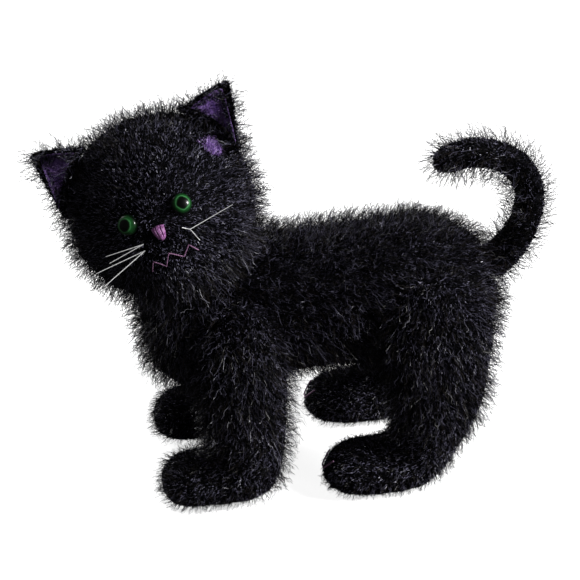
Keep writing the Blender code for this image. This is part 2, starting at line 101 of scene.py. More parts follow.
def merged_copy(name, nodes):
    """Whole copies of these CAD solids in one object, their loose triangles joined up."""
    work = bmesh.new()
    for node in nodes:
        work.from_mesh(frame["nodes"][node].data)
    bmesh.ops.remove_doubles(work, verts=work.verts, dist=1e-5)
    mesh = bpy.data.meshes.new(name)
    work.to_mesh(mesh)
    work.free()
    return put(name, mesh)


def voxel_skin(name, nodes, cell, rounds):
    """One closed skin over these solids: evenly meshed, its seam gaps closed, then eased smooth."""
    made = merged_copy(name, nodes)
    remesh = made.modifiers.new("even_mesh", "REMESH")
    remesh.mode = "VOXEL"
    remesh.voxel_size = cell
    settled(made)
    work = bmesh.new()
    work.from_mesh(made.data)
    keep_outer_shell(work)
    for _ in range(rounds):
        bmesh.ops.smooth_vert(
            work, verts=work.verts, factor=0.5, use_axis_x=True, use_axis_y=True, use_axis_z=True)
    bmesh.ops.recalc_face_normals(work, faces=work.faces)
    for face in work.faces:
        face.smooth = True
    work.to_mesh(made.data)
    work.free()
    made.data.materials.clear()
    return made


def keep_outer_shell(work):
    """Drop every shell but the largest, such as the bubbles between a skin and its stuffing."""
    left = set(work.verts)
    shells = []
    while left:
        stack = [left.pop()]
        shell = set(stack)
        while stack:
            for edge in stack.pop().link_edges:
                for vert in edge.verts:
                    if vert in left:
                        left.remove(vert)
                        shell.add(vert)
                        stack.append(vert)
        shells.append(shell)
    shells.sort(key=len)
    spare = [vert for shell in shells[:-1] for vert in shell]
    bmesh.ops.delete(work, geom=spare, context="VERTS")


def hex_colour(code):
    """Linear colour from an sRGB hex code."""
    channels = [int(code[i : i + 2], 16) / 255 for i in (1, 3, 5)]
    return tuple(c / 12.92 if c <= 0.04045 else ((c + 0.055) / 1.055) ** 2.4 for c in channels) + (1.0,)


def add_node(tree, kind, settings=None, sockets=None):
    """A node with its own settings, and each named or numbered socket set or linked."""
    node = tree.nodes.new(kind)
    for name, value in (settings or {}).items():
        setattr(node, name, value)
    for key, value in (sockets or {}).items():
        if isinstance(value, bpy.types.NodeSocket):
            tree.links.new(value, node.inputs[key])
        else:
            node.inputs[key].default_value = value
    return node


def blank_material(name):
    """A material with an empty node tree and its output."""
    made = bpy.data.materials.new(name)
    made.use_nodes = True
    made.node_tree.nodes.clear()
    return made, made.node_tree, made.node_tree.nodes.new("ShaderNodeOutputMaterial")


def black_knit_backing():
    """Knitted acrylic ground: matt black, with rows of loops about 1.3 mm apart that break the shine."""
    made, tree, output = blank_material("black_knitted_acrylic_backing")
    place = add_node(tree, "ShaderNodeTexCoord")
    rows = add_node(tree, "ShaderNodeTexWave", {"bands_direction": "Z"}, {
        "Vector": place.outputs["Object"], "Scale": 240.0, "Distortion": 2.5, "Detail": 2.0,
        "Detail Scale": 3.0})
    loops = add_node(tree, "ShaderNodeTexVoronoi", {}, {"Vector": place.outputs["Object"], "Scale": 900.0})
    tint = add_node(tree, "ShaderNodeValToRGB", {}, {"Fac": loops.outputs["Distance"]})
    tint.color_ramp.elements[0].color = hex_colour("#020203")
    tint.color_ramp.elements[1].color = hex_colour("#0b0b0e")
    height = add_node(tree, "ShaderNodeMath", {"operation": "MULTIPLY"}, {
        0: rows.outputs["Fac"], 1: loops.outputs["Distance"]})
    bump = add_node(tree, "ShaderNodeBump", {}, {
        "Strength": 0.6, "Distance": 0.0006, "Height": height.outputs[0]})
    shader = add_node(tree, "ShaderNodeBsdfPrincipled", {}, {
        "Base Color": tint.outputs["Color"], "Roughness": 0.9, "Specular IOR Level": 0.08,
        "Normal": bump.outputs["Normal"]})
    tree.links.new(shader.outputs[0], output.inputs["Surface"])
    return made


knit_backing = black_knit_backing()
skins = {}
for body, nodes in SKINS.items():
    skin = voxel_skin(body + "_coat", nodes, SKIN_CELL, SKIN_ROUNDS)
    skin.data.materials.append(knit_backing)
    skins[body] = skin


# ---------------------------------------------------------------------------------------------
# The pile: acrylic eyelash yarn, knitted into the ground. A nap of hairs about 2 mm long lies
# along the knit, and crinkled hairs up to 13 mm long stand out of it. It is combed from nose to tail
# and clipped short on the face and the feet.

PILE_SEED = 7
TALLEST_PILE = 0.0165
NEIGHBOUR_ROOM = 0.001
SOCKET_STUBBLE, ROOM_SHARE = 0.0012, 0.8

SHORT_NAP = {"Hairs per square metre": 3.0e6, "Hair width": 0.00034, "Taper": 0.5, "Bends": 1,
             "Shortest": 0.45, "Stand": 0.5, "Lean": 0.8, "Scatter": 0.65, "Clump": 0.4,
             "Swirl": 0.5, "Droop": 0.0, "Crinkle": 0.0}
LONG_HAIR = {"Hairs per square metre": 0.60e6, "Hair width": 0.00025, "Taper": 0.45, "Bends": 5,
             "Shortest": 0.5, "Stand": 1.0, "Lean": 0.2, "Scatter": 0.45, "Clump": 0.6,
             "Swirl": 0.25, "Droop": 0.35, "Crinkle": 0.15}


def pile_fibre(name, colour, roughness, sheen):
    """Drawn acrylic or polyester hair as a flat ribbon, with a line of shine where it bends; a paler colour
    given paints light.
    """
    made, tree, output = blank_material(name)
    shader = add_node(tree, "ShaderNodeBsdfPrincipled", {}, {
        "Base Color": hex_colour(colour), "Roughness": roughness, "Specular IOR Level": sheen})
    tree.links.new(shader.outputs[0], output.inputs["Surface"])
    return made


# Painted highlight: the slate and lustrous nap fibres are paler copies of the black acrylic that stand in
# for its glints; their shine on top is real.
NAP_FIBRES = (
    (0.00, pile_fibre("black_acrylic_nap", "#020203", 0.6, 0.05)),
    (0.50, pile_fibre("acrylic_nap_painted_dim_highlight", "#1f1e28", 0.45, 0.3)),
    (0.78, pile_fibre("lustrous_acrylic_nap_painted_highlight", "#75728a", 0.35, 0.6)),
)
# Painted light: the brown-black hairs paint light shining through the fringe, and the slate hairs are a
# paler copy of the black acrylic that paints its glints.
HAIR_FIBRES = (
    (0.00, pile_fibre("black_acrylic_hair", "#020202", 0.5, 0.08)),
    (0.50, pile_fibre("acrylic_hair_painted_backlight", "#1a1512", 0.4, 0.3)),
    (0.78, pile_fibre("acrylic_hair_painted_highlight", "#4c4a5a", 0.38, 0.4)),
)


def pile_tree(name, fibres):
    """Nodes that root hairs in a skin by its cover, nap and pile_length attributes."""
    tree = bpy.data.node_groups.new(name, "GeometryNodeTree")
    face = tree.interface
    face.new_socket("Skin", in_out="INPUT", socket_type="NodeSocketGeometry")
    for socket, value in (("Hairs per square metre", 1e6), ("Hair width", 0.0003), ("Stand", 1.0),
                          ("Lean", 0.5), ("Scatter", 0.4), ("Clump", 0.4), ("Swirl", 0.5),
                          ("Droop", 0.3), ("Crinkle", 0.0), ("Taper", 0.5), ("Shortest", 0.5),
                          ("Floor", 0.0004)):
        face.new_socket(socket, in_out="INPUT", socket_type="NodeSocketFloat").default_value = value
    for socket, value in (("Bends", 2), ("Seed", PILE_SEED)):
        face.new_socket(socket, in_out="INPUT", socket_type="NodeSocketInt").default_value = value
    face.new_socket("Pile", in_out="OUTPUT", socket_type="NodeSocketGeometry")
    given = tree.nodes.new("NodeGroupInput").outputs

    def field(name, kind="FLOAT"):
        node = add_node(tree, "GeometryNodeInputNamedAttribute", {"data_type": kind}, {"Name": name})
        return node.outputs[0]

    def sums(operation, a, b):
        return add_node(tree, "ShaderNodeMath", {"operation": operation}, {0: a, 1: b}).outputs[0]

    def scaled(vector, amount):
        node = add_node(tree, "ShaderNodeVectorMath", {"operation": "SCALE"}, {0: vector, "Scale": amount})
        return node.outputs[0]

    def paired(operation, a, b):
        return add_node(tree, "ShaderNodeVectorMath", {"operation": operation}, {0: a, 1: b}).outputs[0]

    def added(a, b):
        return paired("ADD", a, b)

    def chance(low, high, step, kind="FLOAT"):
        seed = sums("ADD", given["Seed"], step)
        node = add_node(tree, "FunctionNodeRandomValue", {"data_type": kind})
        spread = [s for s in node.inputs if s.enabled and s.name in ("Min", "Max")]
        for socket, value in zip(spread, (low, high)):
            socket.default_value = (value,) * 3 if kind == "FLOAT_VECTOR" else value
        tree.links.new(seed, node.inputs["Seed"])
        return [s for s in node.outputs if s.enabled][0]

    density = sums("MULTIPLY", given["Hairs per square metre"], field("cover"))
    rooted = add_node(tree, "GeometryNodeDistributePointsOnFaces", {"distribute_method": "RANDOM"}, {
        "Mesh": given["Skin"], "Density": density, "Seed": given["Seed"]})
    root = add_node(tree, "GeometryNodeInputPosition").outputs[0]
    eddies = add_node(tree, "ShaderNodeTexNoise", {}, {"Vector": root, "Scale": 75.0, "Detail": 1.0})
    eddy = paired("SUBTRACT", eddies.outputs["Color"], (0.5,) * 3)
    flow = added(field("nap", "FLOAT_VECTOR"), scaled(eddy, sums("MULTIPLY", given["Swirl"], 6.0)))
    tufts = add_node(tree, "ShaderNodeTexNoise", {}, {"Vector": root, "Scale": 330.0, "Detail": 1.0})
    tuft = paired("SUBTRACT", tufts.outputs["Color"], (0.5,) * 3)
    way = added(scaled(rooted.outputs["Normal"], given["Stand"]), scaled(flow, given["Lean"]))
    way = added(way, scaled(chance(-1.0, 1.0, 1, "FLOAT_VECTOR"), given["Scatter"]))
    way = added(way, scaled(tuft, sums("MULTIPLY", given["Clump"], 4.0)))
    way = add_node(tree, "ShaderNodeVectorMath", {"operation": "NORMALIZE"}, {0: way}).outputs[0]
    share = sums("MULTIPLY", chance(0.0, 1.0, 2), sums("SUBTRACT", 1.0, given["Shortest"]))
    length = sums("MULTIPLY", field("pile_length"), sums("ADD", share, given["Shortest"]))
    bow = added(scaled(flow, 0.6), (0.0, 0.0, -0.3))
    bow = added(bow, scaled(chance(-1.0, 1.0, 3, "FLOAT_VECTOR"), 0.5))
    bow = scaled(bow, given["Droop"])
    kink = scaled(chance(-1.0, 1.0, 6, "FLOAT_VECTOR"), given["Crinkle"])

    geometry = rooted.outputs["Points"]
    kept = (("root", "FLOAT_VECTOR", root), ("way", "FLOAT_VECTOR", scaled(way, length)),
            ("bow", "FLOAT_VECTOR", scaled(bow, length)), ("kink", "FLOAT_VECTOR", scaled(kink, length)),
            ("roll", "FLOAT", chance(0.0, math.pi, 4)),
            ("shade", "FLOAT", chance(0.0, 1.0, 5)))
    for name, kind, value in kept:
        node = add_node(tree, "GeometryNodeStoreNamedAttribute", {"data_type": kind, "domain": "POINT"}, {
            "Geometry": geometry, "Name": name})
        tree.links.new(value, [s for s in node.inputs if s.name == "Value" and s.enabled][0])
        geometry = node.outputs[0]

    straight = add_node(tree, "GeometryNodeCurvePrimitiveLine")
    stem = add_node(tree, "GeometryNodeResampleCurve", {}, {
        "Curve": straight.outputs[0], "Count": sums("ADD", given["Bends"], 1.0)})
    stems = add_node(tree, "GeometryNodeInstanceOnPoints", {}, {
        "Points": geometry, "Instance": stem.outputs[0]})
    curves = add_node(tree, "GeometryNodeRealizeInstances", {}, {"Geometry": stems.outputs[0]}).outputs[0]
    along = add_node(tree, "GeometryNodeSplineParameter").outputs["Factor"]
    spot = added(field("root", "FLOAT_VECTOR"), scaled(field("way", "FLOAT_VECTOR"), along))
    spot = added(spot, scaled(field("bow", "FLOAT_VECTOR"), sums("MULTIPLY", along, along)))
    wave = sums("SINE", sums("MULTIPLY", along, 3 * math.pi), 0.0)
    spot = added(spot, scaled(field("kink", "FLOAT_VECTOR"), wave))
    low = add_node(tree, "ShaderNodeCombineXYZ", {}, {"X": -10.0, "Y": -10.0, "Z": given["Floor"]})
    curves = add_node(tree, "GeometryNodeSetPosition", {}, {
        "Geometry": curves, "Position": paired("MAXIMUM", spot, low.outputs[0])}).outputs[0]
    thin = sums("SUBTRACT", 1.0, sums("MULTIPLY", along, given["Taper"]))
    curves = add_node(tree, "GeometryNodeSetCurveRadius", {}, {
        "Curve": curves, "Radius": sums("MULTIPLY", thin, given["Hair width"])}).outputs[0]
    curves = add_node(tree, "GeometryNodeSetCurveTilt", {}, {
        "Curve": curves, "Tilt": field("roll")}).outputs[0]
    flat = add_node(tree, "GeometryNodeCurvePrimitiveLine", {}, {"Start": (-0.5, 0, 0), "End": (0.5, 0, 0)})
    ribbon = add_node(tree, "GeometryNodeCurveToMesh", {}, {
        "Curve": curves, "Profile Curve": flat.outputs[0]})
    if "Scale" in ribbon.inputs:
        width = add_node(tree, "GeometryNodeInputRadius").outputs[0]
        tree.links.new(width, ribbon.inputs["Scale"])
    geometry = add_node(tree, "GeometryNodeSetShadeSmooth", {}, {"Geometry": ribbon.outputs[0]}).outputs[0]
    geometry = add_node(tree, "GeometryNodeRealizeInstances", {}, {"Geometry": geometry}).outputs[0]
    for start, fibre in fibres:
        chosen = add_node(tree, "FunctionNodeCompare", {"operation": "GREATER_EQUAL"}, {
            "A": field("shade"), "B": start}).outputs[0]
        geometry = add_node(tree, "GeometryNodeSetMaterial", {}, {
            "Geometry": geometry, "Selection": chosen, "Material": fibre}).outputs[0]
    leaving = tree.nodes.new("NodeGroupOutput")
    tree.links.new(geometry, leaving.inputs["Pile"])
    return tree


def grow(name, ground, tree, seed, sizes):
    """Grow a tree's hairs on this ground and return them as a plain mesh object."""
    host = put(name, ground.data.copy())
    pile = host.modifiers.new("pile", "NODES")
    pile.node_group = tree
    sockets = {s.name: s.identifier for s in tree.interface.items_tree if s.in_out == "INPUT"}
    for key, value in sizes.items():
        pile[sockets[key]] = value
    pile[sockets["Seed"]] = seed
    settled(host)
    for attribute in [a.name for a in host.data.attributes]:
        if attribute in ("root", "way", "bow", "kink", "roll", "shade", "nap", "pile_length", "cover"):
            host.data.attributes.remove(host.data.attributes[attribute])
    return host


def points_and_normals(ground):
    """The ground's vertices and their normals, as two arrays in metres."""
    mesh = ground.data
    points = np.empty(len(mesh.vertices) * 3)
    mesh.vertices.foreach_get("co", points)
    normals = np.array([corner.vector for corner in mesh.vertex_normals])
    return points.reshape(-1, 3), normals


def tree_of(grounds):
    """A search tree over several objects' meshes."""
    work = bmesh.new()
    for ground in grounds:
        work.from_mesh(ground.data)
    found = BVHTree.FromBMesh(work)
    work.free()
    return found


def room_outside(points, normals, others):
    """How far each point can see along its normal before it meets another piece."""
    room = np.full(len(points), TALLEST_PILE)
    for i, (point, normal) in enumerate(zip(points, normals)):
        start = Vector(point)
        hit = others.ray_cast(start + Vector(normal) * 0.0002, Vector(normal), TALLEST_PILE)
        if hit[0] is not None:
            room[i] = hit[3]
    return room


def ease(value, low, high):
    """0 below low, 1 above high and a smooth step between."""
    t = np.clip((value - low) / (high - low), 0, 1)
    return t * t * (3 - 2 * t)


def comb(ground, nap, lengths, cover):
    """Write how the pile lies on the ground: nap along the skin, hair length and cover."""
    points, normals = points_and_normals(ground)
    nap = nap - normals * (nap * normals).sum(1)[:, None]
    nap = nap / np.maximum(np.linalg.norm(nap, axis=1), 1e-6)[:, None]
    for name, kind, key, values in (("nap", "FLOAT_VECTOR", "vector", nap),
                                    ("pile_length", "FLOAT", "value", lengths),
                                    ("cover", "FLOAT", "value", cover)):
        stored = ground.data.attributes.get(name) or ground.data.attributes.new(name, kind, "POINT")
        stored.data.foreach_set(key, np.ascontiguousarray(values, np.float32).ravel())


nap_tree = pile_tree("short_nap", NAP_FIBRES)
hair_tree = pile_tree("long_hair", HAIR_FIBRES)


def open_cover(body, points, normals, lengths):
    """Cover and length of the pile where other bodies press close: none in the sockets."""
    others = tree_of([skin for name, skin in skins.items() if name != body])
    room = room_outside(points, normals, others)
    cover = ease(room, NEIGHBOUR_ROOM, 4 * NEIGHBOUR_ROOM)
    return np.minimum(lengths, SOCKET_STUBBLE + ROOM_SHARE * room), cover


# ---------------------------------------------------------------------------------------------
# Trunk pile. The hairs are combed back and down over the sides and down the chest, and are
# shorter under the belly. The nap is grown in two strips, one for each side panel.

TRUNK_NAP, TRUNK_HAIR = 0.0024, 0.0125
BELLY_SHORTER = 0.45
TRUNK_COMB, CHEST_COMB = np.array([1.0, 0.0, -0.45]), np.array([0.1, 0.0, -1.0])
CHEST_PLACE = (-0.06, -0.03)


def coat_with(body, piles):
    """The body's skin and its pile ride on it and stand for its CAD panels, which are hidden."""
    for piece in [skins[body]] + piles:
        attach(piece, body)
    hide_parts(*SKINS[body])


points, normals = points_and_normals(skins["trunk"])
chest = 1 - ease(points[:, 0], *CHEST_PLACE)
nap = TRUNK_COMB * (1 - chest)[:, None] + CHEST_COMB * chest[:, None]
under = ease(-normals[:, 2], 0.3, 0.9)
side = points[:, 1] - (cad_low.y + cad_high.y) / 2
near_length, cover = open_cover("trunk", points, normals, np.full(len(points), TRUNK_NAP))
trunk_piles = []
for step, (name, strip) in enumerate((("left", side < 0), ("right", side >= 0))):
    comb(skins["trunk"], nap, near_length, cover * strip)
    trunk_piles.append(grow("trunk_nap_" + name, skins["trunk"], nap_tree, PILE_SEED + step, SHORT_NAP))
far_length, cover = open_cover("trunk", points, normals, TRUNK_HAIR * (1 - BELLY_SHORTER * under))
comb(skins["trunk"], nap, far_length, cover)
trunk_piles.append(grow("trunk_long_hair", skins["trunk"], hair_tree, PILE_SEED + 5, LONG_HAIR))
coat_with("trunk", trunk_piles)


# ---------------------------------------------------------------------------------------------
# Neck. The fibre runs on from the trunk into the head inside a short sleeve of the same knit,
# which the long hairs of head and chest hide.

NECK_ROUNDS = 4
neck_sleeve = voxel_skin("neck_sleeve", ("neck_stuffing",), SKIN_CELL, NECK_ROUNDS)
neck_sleeve.data.materials.append(knit_backing)
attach(neck_sleeve, "neck")
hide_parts("neck_stuffing")


# ---------------------------------------------------------------------------------------------
# Head pile. It is clipped short round the eyes, nose and mouth, and grows out in every
# direction from the nose, to its full length on the crown, cheeks and nape.

HEAD_MM = 0.001
HEAD_DEEP = 0.039
HEAD_NAP, HEAD_HAIR = 0.0022, 0.0125
FACE_NAP, FACE_HAIR, CLIPPED = 0.0018, 0.0030, 0.0009
FACE_NAP_CROWD, FACE_NAP_SIZES = 0.8, {**SHORT_NAP, "Hair width": 0.00028}
CLIP_SLOPE, EYE_CLEAR, NOSE_CLEAR, MOUTH_CLEAR = 0.35, 0.0055, 0.0045, 0.001
EYE_BARE, NOSE_BARE, SHORTEST_LONG = 0.0045, 0.0035, 0.002
PARTING_ABOVE_NOSE = 0.006
HEAD_FROM_NECK = (-0.0115, -0.006, 0.0295)
HEAD_TURNS = (-27, 29.5, 75)  # degrees about x, y and z
VIOLET_PLACE, VIOLET_REACH = (-18.8, -35.8, 12.7), 0.0055
joints = {joint["name"]: joint for joint in frame["record"]["behaviour"]["joints"]}
neck_place = Vector(joints["head_turn"]["pos_m"])
head_frame = Matrix.Translation(neck_place + Vector(HEAD_FROM_NECK))
head_frame = head_frame @ Euler([math.radians(a) for a in HEAD_TURNS]).to_matrix().to_4x4()


def middle_of(node):
    """The middle of a CAD node's box."""
    low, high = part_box(node)
    return np.array((low + high) / 2)


def away_from(points, spot):
    """Distance of each point from a spot, in metres."""
    return np.linalg.norm(points - np.array(spot), axis=1)


points, normals = points_and_normals(skins["head"])
nose = middle_of("nose_embroidery")
eyes = [middle_of("eye_" + side_name) for side_name in ("left", "right")]
mouth_points, _ = points_and_normals(frame["nodes"]["mouth_thread"])
front = -np.array(head_frame.col[0].xyz)
up = np.array(head_frame.col[2].xyz)
nap = points - (nose + PARTING_ABOVE_NOSE * up)
forwardness = ((points - np.array(head_frame.translation)) @ front) / HEAD_DEEP
to_mouth = np.min(np.linalg.norm(points[:, None, :] - mouth_points[None, ::3, :], axis=2), axis=1)
to_nose = away_from(points, nose)
to_eyes = np.min([away_from(points, eye) for eye in eyes], axis=0)


def clipped(lengths):
    """Lengths cut short near the nose, mouth and eyes."""
    away = np.minimum(np.minimum(to_nose - NOSE_CLEAR, to_mouth - MOUTH_CLEAR), to_eyes - EYE_CLEAR)
    return np.minimum(lengths, CLIPPED + CLIP_SLOPE * np.maximum(away, 0))


face_share = ease(forwardness, 0.1, 0.75)
furred = (to_eyes > EYE_BARE) & (to_nose > NOSE_BARE)
near_length = clipped(HEAD_NAP + (FACE_NAP - HEAD_NAP) * face_share)
far_length = clipped(HEAD_HAIR + (FACE_HAIR - HEAD_HAIR) * face_share)
head_piles = []
violet_middle = head_frame @ (Vector(VIOLET_PLACE) * HEAD_MM)
furred = furred & (away_from(points, violet_middle) > VIOLET_REACH)
near_length, cover = open_cover("head", points, normals, near_length)
comb(skins["head"], nap, near_length, cover * furred * (1 + FACE_NAP_CROWD * face_share))
head_piles.append(grow("head_nap", skins["head"], nap_tree, PILE_SEED + 10, FACE_NAP_SIZES))
far_length, cover = open_cover("head", points, normals, far_length)
comb(skins["head"], nap, far_length, cover * furred * (far_length > SHORTEST_LONG))
head_piles.append(grow("head_long_hair", skins["head"], hair_tree, PILE_SEED + 11, LONG_HAIR))
coat_with("head", head_piles)


# ---------------------------------------------------------------------------------------------
# Leg pile. It hangs down the legs, longest behind, and is shorter on the feet. The soles are bare
# where they stand, and the pile is clipped round the claw stitches.

LEG_NAP, LEG_HAIR, BEHIND_LONGER = 0.0022, 0.0085, 0.003
FOOT_NAP, FOOT_HAIR = 0.0018, {"front": 0.0058, "hind": 0.0042}
FOOT_HEIGHT, ANKLE_HEIGHT, SOLE_HEIGHT = 0.03, 0.045, 0.006
LEG_COMB, FOOT_COMB = np.array([0.15, 0.0, -1.0]), np.array([-1.0, 0.0, -0.3])
CLAW_NAP, CLAW_SLOPE, CLAW_CLEAR = 0.0005, 0.7, 0.0012
for step, leg in enumerate(LEGS):
    skin = skins[leg]
    points, normals = points_and_normals(skin)
    on_foot = 1 - ease(points[:, 2], FOOT_HEIGHT, ANKLE_HEIGHT)
    nap = LEG_COMB * (1 - on_foot)[:, None] + FOOT_COMB * on_foot[:, None]
    sole = ease(-normals[:, 2], 0.6, 0.9) * (points[:, 2] < SOLE_HEIGHT)
    behind = BEHIND_LONGER * ease(normals[:, 0], 0.1, 0.8)
    to_claw = np.ones(len(points))
    if leg.startswith("leg_hind"):
        claw_points, _ = points_and_normals(frame["nodes"][leg.replace("leg_hind", "claw_thread")])
        to_claw = np.min(np.linalg.norm(points[:, None, :] - claw_points[None, ::3, :], axis=2), axis=1)
    beside_claw = CLAW_NAP + CLAW_SLOPE * np.maximum(to_claw - CLAW_CLEAR, 0)
    leg_piles = []
    layers = (("nap", nap_tree, LEG_NAP, FOOT_NAP, 0.0, SHORT_NAP),
              ("long_hair", hair_tree, LEG_HAIR, FOOT_HAIR[leg.split("_")[1]], behind, LONG_HAIR))
    for layer, fibres, on_leg, at_foot, extra, sizes in layers:
        lengths = np.minimum(on_leg * (1 - on_foot) + at_foot * on_foot + extra, beside_claw)
        lengths, cover = open_cover(leg, points, normals, lengths)
        comb(skin, nap, lengths, cover * (1 - sole))
        leg_piles.append(grow(f"{leg}_{layer}", skin, fibres, PILE_SEED + 20 + step, sizes))
    coat_with(leg, leg_piles)


# ---------------------------------------------------------------------------------------------
# Tail pile. The tail is a narrow stuffed tube. Its hairs stand out all round the curl and lean
# towards its tip.

TAIL_NAP, TAIL_HAIR = 0.0016, 0.013
CURL_BELOW_TOP = 0.035
TAIL_LAYERS = (("nap", nap_tree, TAIL_NAP, SHORT_NAP), ("long_hair", hair_tree, TAIL_HAIR, LONG_HAIR))
points, normals = points_and_normals(skins["tail"])
low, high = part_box("tail_skin")
curl = np.array([(low.x + high.x) / 2, 0, high.z - CURL_BELOW_TOP])
round_curl = points - curl
nap = np.stack([-round_curl[:, 2], np.zeros(len(points)), round_curl[:, 0]], axis=1)
tail_piles = []
for layer, fibres, length, sizes in TAIL_LAYERS:
    lengths, cover = open_cover("tail", points, normals, np.full(len(points), length))
    comb(skins["tail"], nap, lengths, cover)
    tail_piles.append(grow("tail_" + layer, skins["tail"], fibres, PILE_SEED + 30, sizes))
coat_with("tail", tail_piles)


# ---------------------------------------------------------------------------------------------
# Ears. Two leaves of cloth sewn back to back and cupped: black pile knit behind, and a short
# purple nap in front. The pile of the back shows all round the lining's edge.

EAR_CELL, EAR_ROUNDS = 0.0005, 4
LINING_CELL, LINING_ROUNDS = 0.0003, 3
EAR_NAP, EAR_HAIR = 0.0018, 0.0115
EAR_HAIR_CROWD, CROWD_AT_SEAM = 2.5, 3.0
SEAM_NEAR, SEAM_FAR, SEAM_LONGER = 0.003, 0.007, 0.0018
EAR_HALF = 0.015
EAR_LAYERS = (("nap", nap_tree, EAR_NAP, 1.0, SHORT_NAP),
              ("long_hair", hair_tree, EAR_HAIR, EAR_HAIR_CROWD, LONG_HAIR))
LINING_NAP, PATCH_NAP = 0.0013, 0.0026
RIM_WIDTH = 0.0022
BLACK_TIP = (0.66, 0.78)
# Painted shade of the fold low in each lining: the heights up the ear over which it fades out, and the
# share of violet nap left at its darkest.
FOLD_PAINTED_SHADE, FOLD_SHADE_CROWD = (0.08, 0.25), 0.35
VIOLET_NAP = {**SHORT_NAP, "Hairs per square metre": 7.0e6, "Hair width": 0.00024,
              "Stand": 0.6, "Swirl": 0.7}
RIM_NAP = {**SHORT_NAP, "Hairs per square metre": 5.0e6, "Stand": 0.9}


def purple_nap():
    """Brushed polyester plush: violet and matt, with paler patches where its nap catches light."""
    made, tree, output = blank_material("violet_brushed_polyester")
    place = add_node(tree, "ShaderNodeTexCoord")
    patches = add_node(tree, "ShaderNodeTexNoise", {}, {
        "Vector": place.outputs["Object"], "Scale": 260.0, "Detail": 4.0})
    tint = add_node(tree, "ShaderNodeValToRGB", {}, {"Fac": patches.outputs["Fac"]})
    tint.color_ramp.elements[0].position = 0.3
    tint.color_ramp.elements[0].color = hex_colour("#503374")
    tint.color_ramp.elements[1].position = 0.7
    tint.color_ramp.elements[1].color = hex_colour("#9470bd")
    fuzz = add_node(tree, "ShaderNodeTexNoise", {}, {
        "Vector": place.outputs["Object"], "Scale": 2200.0, "Detail": 3.0})
    bump = add_node(tree, "ShaderNodeBump", {}, {
        "Strength": 0.8, "Distance": 0.0005, "Height": fuzz.outputs["Fac"]})
    shader = add_node(tree, "ShaderNodeBsdfPrincipled", {}, {
        "Base Color": tint.outputs["Color"], "Roughness": 0.7, "Sheen Weight": 0.4,
        "Sheen Roughness": 0.4, "Normal": bump.outputs["Normal"]})
    tree.links.new(shader.outputs[0], output.inputs["Surface"])
    return made


def flat_hull(flat):
    """The corners of the convex outline round flat points, in order."""
    order = sorted(map(tuple, flat))
    chain = []
    for run in (order, order[::-1]):
        side = []
        for spot in map(np.array, run):
            while len(side) > 1 and np.cross(side[-1] - side[-2], spot - side[-2]) <= 0:
                side.pop()
            side.append(spot)
        chain += side[:-1]
    return np.array(chain)


def from_sewn_sides(points, rise, facing):
    """Distance of the lining's points from its two sewn sides, and their height up the ear."""
    rise = rise / np.linalg.norm(rise)
    facing = facing - rise * (facing @ rise)
    across = np.cross(rise, facing / np.linalg.norm(facing))
    flat = np.stack([points @ across, points @ rise], axis=1)
    low, high = flat[:, 1].min(), flat[:, 1].max()
    corners = flat_hull(flat)
    nearest = np.full(len(flat), 1.0)
    for start, end in zip(corners, np.roll(corners, -1, axis=0)):
        if max(start[1], end[1]) > low + 0.2 * (high - low):
            along = (end - start) / max(np.linalg.norm(end - start), 1e-9)
            nearest = np.minimum(nearest, np.abs(np.cross(along, flat - start)))
    return nearest, (flat[:, 1] - low) / (high - low)


